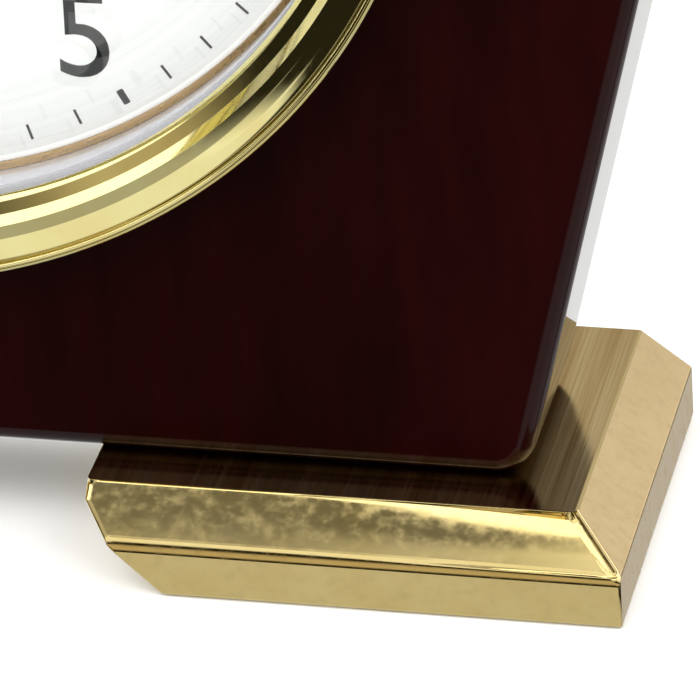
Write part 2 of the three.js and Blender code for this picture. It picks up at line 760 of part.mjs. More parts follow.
export default mantelClock;
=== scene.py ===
"""Mantel clock: a gloss mahogany keystone slab on two brass feet, with a round quartz insert.

Metres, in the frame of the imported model: the dial faces -Y, +Z is up and the table is z = 0.
"""
import json
import math
import random

import bmesh
import bpy
from mathutils import Matrix, Vector


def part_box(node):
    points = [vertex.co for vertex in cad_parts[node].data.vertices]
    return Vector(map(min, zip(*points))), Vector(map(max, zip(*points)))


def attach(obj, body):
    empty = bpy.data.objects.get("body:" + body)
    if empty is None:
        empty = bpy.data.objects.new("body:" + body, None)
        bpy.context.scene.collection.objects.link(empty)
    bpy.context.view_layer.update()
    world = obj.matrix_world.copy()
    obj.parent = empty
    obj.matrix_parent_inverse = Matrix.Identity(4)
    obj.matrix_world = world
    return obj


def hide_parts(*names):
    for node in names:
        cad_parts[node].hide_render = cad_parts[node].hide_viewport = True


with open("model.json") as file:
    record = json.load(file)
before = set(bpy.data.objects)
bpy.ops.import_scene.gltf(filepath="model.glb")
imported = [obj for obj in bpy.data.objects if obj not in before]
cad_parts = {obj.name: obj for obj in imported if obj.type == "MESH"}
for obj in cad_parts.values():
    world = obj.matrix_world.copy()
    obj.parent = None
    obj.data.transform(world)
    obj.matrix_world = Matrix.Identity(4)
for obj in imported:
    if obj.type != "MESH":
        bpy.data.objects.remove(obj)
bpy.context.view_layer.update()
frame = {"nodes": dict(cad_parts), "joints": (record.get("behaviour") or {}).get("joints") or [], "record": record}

MM = 0.001
CASE = "clock_case"

# The leaning frame of the insert: origin on the front face of the wood at the dial's centre,
# X to the right, Y backwards along the dial's axis, Z up the front face.
MOVEMENT_DEPTH = 8.5 * MM
JOINTS = {joint["name"]: joint for joint in frame["joints"]}
AXIS = Vector(JOINTS["minute_spin"]["axis"]).normalized()
DIAL_CENTRE = Vector(JOINTS["minute_spin"]["pos_m"]) - AXIS * MOVEMENT_DEPTH
UP_FACE = Vector((1, 0, 0)).cross(AXIS)
INSERT = Matrix.Translation(DIAL_CENTRE) @ Matrix((
    (1, AXIS.x, UP_FACE.x, 0),
    (0, AXIS.y, UP_FACE.y, 0),
    (0, AXIS.z, UP_FACE.z, 0),
    (0, 0, 0, 1),
))
LEAN = math.asin(-AXIS.z)

# Wooden case, in the leaning frame
CASE_HEIGHT = 157 * MM
CASE_THICKNESS = 21 * MM
CASE_HALF_WIDTH = 65.6 * MM  # at the bottom
CASE_FLARE = math.radians(13.2)
CASE_CORNER = 4.2 * MM
CASE_EDGE = 2.1 * MM
CASE_SEAT = 0.3 * MM  # the wood comes down this far to rest on the feet
CASE_BORE = 57 * MM
DIAL_HEIGHT = 79 * MM

# Insert
DROP_IN_RADIUS = 55.4 * MM
DIAL_DEPTH = 6.8 * MM
MINUTE_TRACK = (49.9 * MM, 51.5 * MM)
NUMERAL_RADIUS = 43.4 * MM
NUMERAL_SIZE = 13 * MM
DIAL_HOLE = 4.2 * MM
DIAL_THICKNESS = 0.6 * MM
INK = 0.02 * MM
LENS_FRONT, LENS_BACK, LENS_CHAMFER = 0.3 * MM, 1.3 * MM, 0.2 * MM

# Hands and nut
HAND_THICKNESS = 0.4 * MM
HAND_EDGE = 0.6  # share of the thickness at which the sloping faces end
SECOND_TAIL = 13 * MM
NUT_RADIUS = 6.4 * MM
NUT_DEPTHS = (5.6 * MM, 6.5 * MM)

# Feet
FOOT_FACE = 5.5 * MM
FOOT_BEVEL = 5.1 * MM
FOOT_UNDERCUT = 8.2 * MM
FOOT_UNDERCUT_TOP = 8.0 * MM
FOOT_ARRIS = 0.22 * MM  # rounding of the crisp edges
FOOT_SOFT = 0.9 * MM  # rounding of the edges that were buffed
BUFFED_LENGTH = 34 * MM  # how far from the mitre buffing shaped the front bevel
BUFFED_CROWN = 0.3 * MM
BUFFED_FALL = 0.8 * MM
BEVEL_CROWN = 0.03 * MM
PAD_FUZZ = 0.08 * MM

# Back of the clock
PLATE_RADIUS = 65 * MM
PLATE_FRONT = 21 * MM
PLATE_THICKNESS = 2.3 * MM
PLATE_BACK = PLATE_FRONT + PLATE_THICKNESS
WINDOW_HALF = 28.6 * MM
WINDOW_CORNER = 3 * MM
RIB_RADII = (57 * MM, 58 * MM)
RIB_HEIGHT, RIB_ROOT = 0.4 * MM, 0.1 * MM  # above and below the cover's surface
SCREW_RADIUS = 2.8 * MM
SCREW_RIM, SCREW_DOME = 1.5 * MM, 1.9 * MM  # head heights at its edge and middle
CROSS_LENGTH, CROSS_WIDTH, CROSS_DEPTH = 3.2 * MM, 0.55 * MM, 0.9 * MM
CROSS_TURN = 0.35  # radians
KNOB_RADIUS = 4.85 * MM
KNOB_FLUTES = 24
FLUTE_RIPPLE = 0.16 * MM
CELL_RADIUS = 7.05 * MM
CELL_BAND_LENGTH = 12 * MM
CELL_SHOULDER = 3.2 * MM
CELL_CAP = 1.3 * MM  # height of the positive contact

TOUCH = 0.1 * MM  # two places nearer than this count as one


# ---- Mesh helpers --------------------------------------------------------------------------------

def link(name, mesh, materials, sharp=30):
    """A linked object with smooth shading broken at edges sharper than that many degrees."""
    piece = bpy.data.objects.new(name, mesh)
    bpy.context.scene.collection.objects.link(piece)
    for material in materials if isinstance(materials, (list, tuple)) else [materials]:
        mesh.materials.append(material)
    mesh.shade_smooth()
    mesh.set_sharp_from_angle(angle=math.radians(sharp))
    return piece


def from_bmesh(name, bm, materials, matrix=None, sharp=30):
    """An object made from a bmesh, which is used up, with its normals facing out."""
    if matrix is not None:
        bm.transform(matrix)
    bmesh.ops.recalc_face_normals(bm, faces=bm.faces)
    mesh = bpy.data.meshes.new(name)
    bm.to_mesh(mesh)
    bm.free()
    return link(name, mesh, materials, sharp)


def bake(piece):
    """Applies the piece's modifiers to its mesh."""
    graph = bpy.context.evaluated_depsgraph_get()
    mesh = bpy.data.meshes.new_from_object(piece.evaluated_get(graph))
    piece.modifiers.clear()
    piece.data = mesh


def cut(piece, cutter):
    """Takes the cutter's solid out of the piece, and removes the cutter."""
    modifier = piece.modifiers.new("cut", "BOOLEAN")
    modifier.operation = "DIFFERENCE"
    modifier.solver = "EXACT"
    modifier.object = cutter
    bake(piece)
    bpy.data.objects.remove(cutter)


def even_normals(piece):
    """Keeps big flat faces flat beside small rounded edges."""
    modifier = piece.modifiers.new("even normals", "WEIGHTED_NORMAL")
    modifier.keep_sharp = True
    modifier.weight = 80


def finish_piece(piece, body, slot, *nodes):
    """Fixes the piece to a body and hides the CAD nodes it stands for. The slot argument is not used."""
    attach(piece, body)
    if nodes:
        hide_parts(*nodes)


def rounded(corners, radius, steps=5):
    """A closed 2D outline with each corner turned into an arc, in the order of the corners.
    radius is one number, or one for each corner."""
    count = len(corners)
    radii = radius if isinstance(radius, (list, tuple)) else [radius] * count
    outline = []
    for i, corner in enumerate(corners):
        here = Vector(corner)
        before = Vector(corners[i - 1]) - here
        after = Vector(corners[(i + 1) % count]) - here
        if radii[i] <= 0:
            outline.append(here)
            continue
        half = before.angle(after) / 2
        setback = radii[i] / math.tan(half)
        start = here + before.normalized() * setback
        end = here + after.normalized() * setback
        bisector = (before.normalized() + after.normalized()).normalized()
        centre = here + bisector * (radii[i] / math.sin(half))
        spoke = start - centre
        sweep = spoke.angle_signed(end - centre)
        for step in range(steps + 1):
            turn = Matrix.Rotation(-sweep * step / steps, 2)
            outline.append(centre + turn @ spoke)
    return outline


def lathe(name, profile, materials, segments=192, matrix=INSERT, sharp=30, closed=True,
          material_of=lambda span: 0):
    """A profile of (radius, depth) turned about the depth axis (Y of the matrix).
    material_of gives the material's index for each span of the profile."""
    bm = bmesh.new()
    rings = []
    for r, depth in profile:
        if r == 0:
            rings.append([bm.verts.new((0, depth, 0))])
            continue
        rings.append([
            bm.verts.new((r * math.cos(turn), depth, r * math.sin(turn)))
            for turn in (2 * math.pi * i / segments for i in range(segments))
        ])
    spans = len(rings) if closed else len(rings) - 1
    for i in range(spans):
        a, b = rings[i], rings[(i + 1) % len(rings)]
        for j in range(segments):
            k = (j + 1) % segments
            corners = [a[j % len(a)], a[k % len(a)], b[k % len(b)], b[j % len(b)]]
            unique = list(dict.fromkeys(corners))
            if len(unique) > 2:
                face = bm.faces.new(unique)
                face.material_index = material_of(i)
    return from_bmesh(name, bm, materials, matrix, sharp)


def prism(bm, outline, front, back, to_point):
    """A closed outline given thickness: to_point(u, v, depth) places each corner."""
    near = [bm.verts.new(to_point(u, v, front)) for u, v in outline]
    far = [bm.verts.new(to_point(u, v, back)) for u, v in outline]
    bm.faces.new(near)
    bm.faces.new(list(reversed(far)))
    for i in range(len(outline)):
        j = (i + 1) % len(outline)
        bm.faces.new((near[j], near[i], far[i], far[j]))


def scaled(points):
    """Millimetres to metres."""
    return [(r * MM, depth * MM) for r, depth in points]


def on_face(u, v, depth):
    """A point of the leaning frame, before INSERT is applied."""
    return Vector((u, depth, v))


# ---- Materials -----------------------------------------------------------------------------------

class Nodes:
    """Short names for building one node tree."""

    def __init__(self, tree):
        self.tree = tree

    def new(self, kind, **settings):
        node = self.tree.nodes.new(kind)
        for key, value in settings.items():
            if key in node.inputs:
                node.inputs[key].default_value = value
            else:
                setattr(node, key, value)
        return node

    def link(self, output, target):
        self.tree.links.new(output, target)

    def math(self, operation, a, b):
        node = self.new("ShaderNodeMath", operation=operation)
        for socket, value in zip(node.inputs, (a, b)):
            if isinstance(value, (int, float)):
                socket.default_value = value
            else:
                self.link(value, socket)
        return node.outputs[0]

    def mixed(self, a, share_a, b, share_b):
        """A weighted sum of two values."""
        first = self.math("MULTIPLY", a, share_a)
        return self.math("ADD", first, self.math("MULTIPLY", b, share_b))

    def smooth(self, value, low, high, start=0.0, end=1.0):
        """start below low, end above high, and a smooth step between."""
        node = self.new("ShaderNodeMapRange", interpolation_type="SMOOTHSTEP")
        ends = {"From Min": low, "From Max": high, "To Min": start, "To Max": end}
        for key, number in ends.items():
            node.inputs[key].default_value = number
        self.link(value, node.inputs["Value"])
        return node.outputs["Result"]

    def ramp(self, value, stops):
        node = self.new("ShaderNodeValToRGB")
        elements = node.color_ramp.elements
        while len(elements) < len(stops):
            elements.new(0.5)
        for element, (position, color) in zip(elements, stops):
            element.position = position
            element.color = (*color, 1)
        self.link(value, node.inputs["Fac"])
        return node.outputs["Color"]

    def coordinates(self, scale):
        source = self.new("ShaderNodeTexCoord")
        mapping = self.new("ShaderNodeMapping")
        mapping.inputs["Scale"].default_value = scale
        self.link(source.outputs["Object"], mapping.inputs["Vector"])
        return mapping.outputs["Vector"]

    def scaled_color(self, color, factor):
        node = self.new("ShaderNodeVectorMath", operation="SCALE")
        node.inputs[0].default_value = color
        self.link(factor, node.inputs["Scale"])
        return node.outputs["Vector"]

    def add_colors(self, a, b):
        node = self.new("ShaderNodeVectorMath", operation="ADD")
        self.link(a, node.inputs[0])
        self.link(b, node.inputs[1])
        return node.outputs["Vector"]

    def noise(self, vector, scale=1.0, detail=4.0, roughness=0.6):
        node = self.new("ShaderNodeTexNoise", Scale=scale, Detail=detail, Roughness=roughness)
        self.link(vector, node.inputs["Vector"])
        return node.outputs["Fac"]

    def bump(self, height, distance, strength=1.0):
        node = self.new("ShaderNodeBump", Strength=strength, Distance=distance)
        self.link(height, node.inputs["Height"])
        return node.outputs["Normal"]


def material(name, **settings):
    """A new material, its Nodes helper and its shader, with constants set on the sockets."""
    made = bpy.data.materials.new(name)
    made.use_nodes = True
    nodes = Nodes(made.node_tree)
    shader = made.node_tree.nodes["Principled BSDF"]
    for key, value in settings.items():
        shader.inputs[key.replace("_", " ")].default_value = value
    return made, nodes, shader


def gloss_wood():
    """Almost black red-brown mahogany with fine upright pores under a deep lacquer."""
    made, nodes, shader = material(
        "gloss_mahogany", Roughness=0.35, Specular_IOR_Level=0.05,
        Coat_Weight=1.0, Coat_Roughness=0.012, Coat_IOR=1.3,
    )
    grain = nodes.noise(nodes.coordinates((260, 260, 34)), detail=7, roughness=0.62)
    figure = nodes.noise(nodes.coordinates((22, 22, 5)), detail=3)
    tone = nodes.mixed(grain, 0.45, figure, 0.55)
    color = nodes.ramp(tone, [
        (0.3, (0.0022, 0.00001, 0.00003)),
        (0.52, (0.0085, 0.00005, 0.0002)),
        (0.75, (0.017, 0.0002, 0.0006)),
    ])
    nodes.link(color, shader.inputs["Base Color"])
    pores = nodes.noise(nodes.coordinates((1500, 1500, 220)), detail=2)
    nodes.link(nodes.bump(pores, 0.00001, 0.25), shader.inputs["Normal"])
    return made


def polished_brass(name, color, tarnish, waviness=0.3, roughness=0.07):
    """Lacquered polished brass: faint polishing waves, a thin haze and warmer patches."""
    made, nodes, shader = material(name, Metallic=1.0)
    patches = nodes.noise(nodes.coordinates((160, 160, 160)), detail=6)
    nodes.link(nodes.ramp(patches, [(0.35, color), (0.75, tarnish)]), shader.inputs["Base Color"])
    haze = nodes.noise(nodes.coordinates((700, 900, 700)), detail=3)
    finish = nodes.smooth(haze, 0.3, 0.8, roughness * 0.6, roughness * 1.8)
    nodes.link(finish, shader.inputs["Roughness"])
    waves = nodes.noise(nodes.coordinates((900, 900, 900)), detail=4)
    nodes.link(nodes.bump(waves, 0.00001, waviness), shader.inputs["Normal"])
    return made


def brushed_brass():
    """Foot tops: straight scratches from front to back, with brown streaks between them."""
    made, nodes, shader = material("brushed_brass", Metallic=1.0)
    scratches = nodes.noise(nodes.coordinates((2600, 26, 400)), detail=5, roughness=0.7)
    streaks = nodes.noise(nodes.coordinates((420, 9, 80)), detail=4)
    tone = nodes.mixed(scratches, 0.5, streaks, 0.5)
    color = nodes.ramp(tone, [
        (0.34, (0.44, 0.25, 0.08)),
        (0.5, (0.7, 0.5, 0.22)),
        (0.66, (0.95, 0.76, 0.44)),
    ])
    nodes.link(color, shader.inputs["Base Color"])
    nodes.link(nodes.smooth(scratches, 0.3, 0.7, 0.1, 0.2), shader.inputs["Roughness"])
    nodes.link(nodes.bump(scratches, 0.00002, 0.4), shader.inputs["Normal"])
    return made


def centre_distance(nodes):
    """Distance from the dial's centre, in metres, for rings that run round the dial."""
    source = nodes.new("ShaderNodeTexCoord")
    offset = nodes.new("ShaderNodeVectorMath", operation="SUBTRACT")
    offset.inputs[1].default_value = DIAL_CENTRE + AXIS * DIAL_DEPTH
    nodes.link(source.outputs["Object"], offset.inputs[0])
    length = nodes.new("ShaderNodeVectorMath", operation="LENGTH")
    nodes.link(offset.outputs["Vector"], length.inputs[0])
    return length.outputs["Value"]


def ring_noise(nodes, distance, scale, **settings):
    """Noise that changes only with the distance from the dial's centre."""
    line = nodes.new("ShaderNodeCombineXYZ")
    nodes.link(nodes.math("MULTIPLY", distance, scale), line.inputs["X"])
    return nodes.noise(line.outputs["Vector"], **settings)


def spun_silver(name, light, dark, metallic=0.25, roughness=0.38):
    """Silvered metal with fine rings left by spinning."""
    made, nodes, shader = material(name, Metallic=metallic)
    distance = centre_distance(nodes)
    rings = ring_noise(nodes, distance, 2600.0, detail=5, roughness=0.75)
    bands = ring_noise(nodes, distance, 420.0, detail=3)
    tone = nodes.mixed(rings, 0.4, bands, 0.6)
    nodes.link(nodes.ramp(tone, [(0.3, dark), (0.55, light)]), shader.inputs["Base Color"])
    finish = nodes.smooth(rings, 0.3, 0.7, roughness * 0.8, roughness * 1.2)
    nodes.link(finish, shader.inputs["Roughness"])
    nodes.link(nodes.bump(rings, 0.000012, 0.35), shader.inputs["Normal"])
    return made


def moulded_plastic(name, color, grain=0.25, roughness=0.45):
    """Plastic or rubber with a fine moulded grain and a little dust."""
    made, nodes, shader = material(name)
    speckle = nodes.noise(nodes.coordinates((1400, 1400, 1400)), detail=3)
    dust = nodes.noise(nodes.coordinates((60, 60, 60)), detail=4)
    lighter = tuple(min(1.0, channel * 1.5 + 0.004) for channel in color)
    nodes.link(nodes.ramp(dust, [(0.4, color), (0.75, lighter)]), shader.inputs["Base Color"])
    finish = nodes.smooth(dust, 0.3, 0.8, roughness, roughness + 0.15)
    nodes.link(finish, shader.inputs["Roughness"])
    nodes.link(nodes.bump(speckle, 0.00003, grain), shader.inputs["Normal"])
    return made


def plain_metal(name, color, roughness=0.25, grain=0.3):
    """Plated or drawn metal with faint scuffs."""
    made, nodes, shader = material(name, Metallic=1.0)
    scuffs = nodes.noise(nodes.coordinates((500, 500, 900)), detail=4)
    darker = tuple(channel * 0.75 for channel in color)
    nodes.link(nodes.ramp(scuffs, [(0.35, darker), (0.6, color)]), shader.inputs["Base Color"])
    finish = nodes.smooth(scuffs, 0.3, 0.8, roughness, roughness + 0.15)
    nodes.link(finish, shader.inputs["Roughness"])
    nodes.link(nodes.bump(scuffs, 0.00002, grain), shader.inputs["Normal"])
    return made


def printed_black():
    """Slightly uneven matt ink."""
    made, nodes, shader = material("black_print", Roughness=0.5, Specular_IOR_Level=0.1)
    ink = nodes.noise(nodes.coordinates((900, 900, 900)), detail=2)
    color = nodes.ramp(ink, [(0.3, (0.006, 0.007, 0.007)), (0.8, (0.014, 0.015, 0.016))])
    nodes.link(color, shader.inputs["Base Color"])
    return made


def felt():
    """Dark green felt with a fibrous surface."""
    made, nodes, shader = material("green_felt", Roughness=1.0, Sheen_Weight=0.4)
    fibres = nodes.noise(nodes.coordinates((1800, 1800, 1800)), detail=6, roughness=0.8)
    color = nodes.ramp(fibres, [(0.35, (0.012, 0.03, 0.014)), (0.7, (0.05, 0.1, 0.055))])
    nodes.link(color, shader.inputs["Base Color"])
    nodes.link(nodes.bump(fibres, 0.0002, 0.7), shader.inputs["Normal"])
    return made


def clear_glass():
    """A lens so clear that little more than its edge shows."""
    made, nodes, shader = material(
        "lens_glass", Roughness=0.01, Alpha=0.06, Transmission_Weight=1.0,
    )
    smears = nodes.noise(nodes.coordinates((30, 30, 30)), detail=2)
    color = nodes.ramp(smears, [(0.3, (0.93, 0.96, 0.95)), (0.7, (0.98, 0.99, 0.99))])
    nodes.link(color, shader.inputs["Base Color"])
    return made


WOOD = gloss_wood()
BEZEL_BRASS = polished_brass(
    "bezel_brass", (0.86, 0.78, 0.37), (0.82, 0.7, 0.3), waviness=0.05, roughness=0.045,
)
FOOT_BRASS = polished_brass(
    "foot_brass", (0.93, 0.74, 0.33), (0.88, 0.68, 0.27), waviness=0.04, roughness=0.12,
)
SATIN_BRASS = polished_brass(
    "satin_brass", (0.82, 0.62, 0.33), (0.78, 0.58, 0.3), waviness=0.2, roughness=0.2,
)
GILT = polished_brass(
    "gilt_step", (0.55, 0.36, 0.16), (0.47, 0.3, 0.12), waviness=0.2, roughness=0.3,
)
FOOT_TOP = brushed_brass()
DIAL_SILVER = spun_silver("spun_dial", (0.97, 0.985, 0.98), (0.78, 0.83, 0.825))
# Painted highlight: a whiter, less metallic silver for a flat ring that stands in for the highlight on the dial's
# bevelled edge.
PAINTED_EDGE_HIGHLIGHT = spun_silver(
    "painted_edge_highlight", (0.98, 0.98, 0.96), (0.93, 0.93, 0.9), metallic=0.1,
)
RING_SILVER = spun_silver(
    "silver_wall", (0.62, 0.62, 0.66), (0.52, 0.52, 0.57), metallic=0.6, roughness=0.25,
)
PRINT = printed_black()
GLASS = clear_glass()
BLACK_LACQUER = moulded_plastic("black_lacquer", (0.008, 0.008, 0.009), 0.05, 0.18)
BLACK_PLASTIC = moulded_plastic("black_plastic", (0.012, 0.012, 0.013))
WHITE_PLASTIC = moulded_plastic("white_plastic", (0.72, 0.71, 0.67))
RUBBER = moulded_plastic("black_rubber", (0.018, 0.018, 0.018), grain=0.5, roughness=0.8)
STEEL = plain_metal("plated_steel", (0.72, 0.73, 0.75))
COPPER = plain_metal("copper_winding", (0.72, 0.33, 0.14), roughness=0.3)
BOARD = moulded_plastic("circuit_green", (0.02, 0.16, 0.05), grain=0.4)
FELT = felt()
CELL_SKIN = plain_metal("cell_skin", (0.1, 0.16, 0.24), roughness=0.28, grain=0.08)
CELL_BAND = plain_metal("cell_band", (0.75, 0.76, 0.78), roughness=0.22, grain=0.08)


# ---- Camera, light and floor ---------------------------------------------------------------------

CAMERA_AZIMUTH = math.radians(14.62)
CAMERA_ELEVATION = math.radians(30.94)
CAMERA_ROLL = math.radians(-3.96)
CAMERA_DISTANCE = 628.8 * MM
CAMERA_LENS = 334.4  # mm on a 36 mm sensor
CAMERA_AIM = Vector((48.66, -12.54, 22.94)) * MM  # low on the right of the wooden front
FLOOR_HALF = 6  # metres


def add_camera():
    """A long lens that looks down at the lower right of the clock from close to the front."""
    camera = bpy.data.objects.new("camera", bpy.data.cameras.new("camera"))
    bpy.context.scene.collection.objects.link(camera)
    bpy.context.scene.camera = camera
    camera.data.lens = CAMERA_LENS
    camera.data.clip_start = 0.01
    back = Vector((
        math.sin(CAMERA_AZIMUTH) * math.cos(CAMERA_ELEVATION),
        -math.cos(CAMERA_AZIMUTH) * math.cos(CAMERA_ELEVATION),
        math.sin(CAMERA_ELEVATION),
    ))
    facing = (-back).to_track_quat("-Z", "Y").to_matrix() @ Matrix.Rotation(CAMERA_ROLL, 3, "Z")
    place = Matrix.Translation(CAMERA_AIM + back * CAMERA_DISTANCE)
    camera.matrix_world = place @ facing.to_4x4()


def add_floor():
    """A plain pale floor that lights the clock but isn't mirrored in it."""
    bm = bmesh.new()
    bmesh.ops.create_grid(bm, x_segments=1, y_segments=1, size=FLOOR_HALF)
    made, _, _ = material("pale_floor", Roughness=0.9, Base_Color=(0.93, 0.93, 0.925, 1))
    floor = from_bmesh("floor", bm, made)
    floor.visible_glossy = False


def patch(nodes, parts, x, y, z, soft):
    """A soft-edged box of directions: 1 inside the given ranges of x, y and z, 0 outside."""
    product = 1.0
    for axis, (low, high) in (("X", x), ("Y", y), ("Z", z)):
        rise = nodes.smooth(parts.outputs[axis], low - soft, low + soft)
        fall = nodes.smooth(parts.outputs[axis], high - soft, high + soft, 1.0, 0.0)
        product = nodes.math("MULTIPLY", product, nodes.math("MULTIPLY", rise, fall))
    return product


WHITE = (1.0, 1.0, 0.99)
WARM = (1.0, 0.86, 0.62)

# Light by direction: what a mirror facing that way sees of the studio.
STUDIO = [
    # strength, tint, x range, y range, z range, softness
    (0.5, WHITE, (-2, 2), (0.5, 2), (-0.1, 0.8), 0.1),  # pale wall behind
    (1.05, WHITE, (-2, 0.07), (0.2, 2), (-2, -0.3), 0.05),  # lit table behind, on the left
    (0.52, WHITE, (0.07, 2), (0.2, 2), (-2, -0.3), 0.05),  # dimmer on the right
    (0.56, WHITE, (-2, 2), (-2, 0.1), (-2, -0.45), 0.03),  # lit table close in front
    (0.5, WARM, (-0.55, 0.6), (-2, -0.8), (-0.22, 0.14), 0.04),  # warm front wall
    (0.95, WHITE, (-0.95, 0.45), (-0.86, -0.53), (0.12, 0.8), 0.03),  # big softbox above the camera
    (0.45, WHITE, (-0.33, -0.1), (-0.54, -0.36), (0.6, 2), 0.04),  # its dim upper edge
    (0.45, WHITE, (-2, -0.33), (-0.54, -0.2), (0.2, 2), 0.04),  # the same, lower on the left
    (0.14, WHITE, (-0.5, 0.2), (-0.4, -0.2), (0.8, 2), 0.04),  # dull ceiling before the strip
    (1.9, WHITE, (-0.9, 0.7), (-0.19, 0.5), (0.42, 2), 0.02),  # strip light overhead
    (1.3, WHITE, (-0.1, 0.7), (-0.55, -0.24), (0.7, 2), 0.06),  # its spill to the right
    (0.45, WHITE, (0.45, 2), (0.3, 2), (-0.1, 0.5), 0.1),  # pale wall on the right, behind
]
STUDIO_BASE = (0.02, 0.018, 0.012)


def add_studio():
    """The world: the sum of the studio's patches over a dim base."""
    world = bpy.data.worlds.new("studio")
    bpy.context.scene.world = world
    world.use_nodes = True
    nodes = Nodes(world.node_tree)
    background = world.node_tree.nodes["Background"]
    source = nodes.new("ShaderNodeTexCoord")
    parts = nodes.new("ShaderNodeSeparateXYZ")
    nodes.link(source.outputs["Generated"], parts.inputs["Vector"])
    total = None
    for strength, tint, x, y, z, soft in STUDIO:
        color = [strength * channel for channel in tint]
        lit = nodes.scaled_color(color, patch(nodes, parts, x, y, z, soft))
        total = lit if total is None else nodes.add_colors(total, lit)
    base = nodes.new("ShaderNodeVectorMath", operation="ADD")
    base.inputs[1].default_value = STUDIO_BASE
    nodes.link(total, base.inputs[0])
    nodes.link(base.outputs["Vector"], background.inputs["Color"])


def add_area_light(name, location, target, size, power):
    light = bpy.data.lights.new(name, "AREA")
    light.energy = power
    light.size = size
    holder = bpy.data.objects.new(name, light)
    bpy.context.scene.collection.objects.link(holder)
    holder.location = location
    holder.rotation_euler = (Vector(target) - Vector(location)).to_track_quat("-Z", "Y").to_euler()
    holder.visible_glossy = False


def add_lights():
    """Soft light for the matt surfaces. What the polished ones mirror is the studio above."""
    add_area_light("key", (-0.5, -0.7, 1.1), (0, 0, 0.06), size=0.9, power=14)
    add_area_light("fill", (0.9, -0.5, 0.8), (0, 0, 0.05), size=0.9, power=7)
    add_area_light("back", (0.1, 0.9, 1.0), (0, 0, 0.05), size=0.9, power=8)


# ---- Wooden case ---------------------------------------------------------------------------------

def case_outline(inset):
    """The keystone outline moved inwards, as (x, height above the dial centre)."""
    top = CASE_HALF_WIDTH + CASE_HEIGHT * math.tan(CASE_FLARE)
    side = inset / math.cos(CASE_FLARE)
    lean_in = inset * math.tan(CASE_FLARE)
    low, high = inset - DIAL_HEIGHT, CASE_HEIGHT - inset - DIAL_HEIGHT
    bottom_half = CASE_HALF_WIDTH - side + lean_in
    top_half = top - side - lean_in
    corners = [(-bottom_half, low), (bottom_half, low), (top_half, high), (-top_half, high)]
    return rounded(corners, CASE_CORNER - inset, 10)


def case_point(x, height, depth):
    """The bottom face is level, so towards the back it rises a little in the leaning frame."""
    up = (height + DIAL_HEIGHT) / CASE_HEIGHT
    return on_face(x, height + (depth * math.tan(LEAN) - CASE_SEAT) * (1 - up), depth)


def add_case():
    """A slab with evenly rounded edges and a round bore for the insert."""
    bm = bmesh.new()
    steps = 8
    rings = []  # (inset, depth) round the front edge, then round the back edge
    for step in range(steps + 1):
        turn = math.pi / 2 * step / steps
        rings.append((CASE_EDGE * (1 - math.sin(turn)), CASE_EDGE * (1 - math.cos(turn))))
    rings += [(inset, CASE_THICKNESS - depth) for inset, depth in reversed(rings)]
    loops = [
        [bm.verts.new(case_point(x, height, depth)) for x, height in case_outline(inset)]
        for inset, depth in rings
    ]
    count = len(loops[0])
    for a, b in zip(loops, loops[1:]):
        for i in range(count):
            j = (i + 1) % count
            bm.faces.new((a[i], a[j], b[j], b[i]))
    bm.faces.new(list(reversed(loops[0])))
    bm.faces.new(loops[-1])
    case = from_bmesh("wooden_case", bm, WOOD, INSERT, sharp=40)
    near, far = -CASE_THICKNESS, 2 * CASE_THICKNESS
    bore = [(0, near), (CASE_BORE, near), (CASE_BORE, far), (0, far)]
    cut(case, lathe("bore_tool", bore, WOOD, closed=False))
    even_normals(case)
    finish_piece(case, CASE, "gloss_wood", "case_body")


# ---- Feet ----------------------------------------------------------------------------------------

def foot_solid(low, high, sign):
    """The foot's flat faces: mitred bevels in front and outside, the inner end sloping under."""
    inner, outer = sorted((abs(low.x), abs(high.x)))
    bevel_bottom = low.z + FOOT_FACE
    bm = bmesh.new()
    for z, setback in ((low.z, 0), (bevel_bottom, 0), (high.z, FOOT_BEVEL)):
        under = max(0, FOOT_UNDERCUT * (1 - (z - low.z) / FOOT_UNDERCUT_TOP))
        for x in (inner + under, outer - setback):
            for y in (low.y + setback, high.y):
                bm.verts.new((x * sign, y, z))
    knee = low.z + FOOT_UNDERCUT_TOP
    share = (knee - bevel_bottom) / (high.z - bevel_bottom)
    for y in (low.y + FOOT_BEVEL * share, high.y):
        bm.verts.new((inner * sign, y, knee))
    bmesh.ops.convex_hull(bm, input=bm.verts[:])
    bmesh.ops.dissolve_limit(bm, angle_limit=math.radians(1), verts=bm.verts[:], edges=bm.edges[:])
    return bm


def is_front_bevel(normal):
    return normal.y < -0.35 and normal.z > 0.45


def crown_front_bevel(foot, low, high, sign):
    """Buffing left the front bevel a little pillowed, more and more towards the mitre."""
    outer = max(abs(low.x), abs(high.x))
    bottom = low.z + FOOT_FACE
    run, rise = FOOT_BEVEL, high.z - bottom
    normal = Vector((0, -rise, run)).normalized()
    for vert in foot.data.vertices:
        across = (vert.co.z - bottom) / rise
        flat = low.y + run * across
        if not 0.02 < across < 0.98 or abs(vert.co.y - flat) > 4 * TOUCH:
            continue
        mitre = outer - (vert.co.y - low.y) - abs(vert.co.x)
        if mitre < -4 * TOUCH:
            continue
        near = max(0.0, 1 - mitre / BUFFED_LENGTH)
        crown = (BEVEL_CROWN + BUFFED_CROWN * near ** 1.5) * (1 - (2 * across - 1) ** 2)
        fall = BUFFED_FALL * near ** 2.2
        vert.co += normal * (crown - fall)


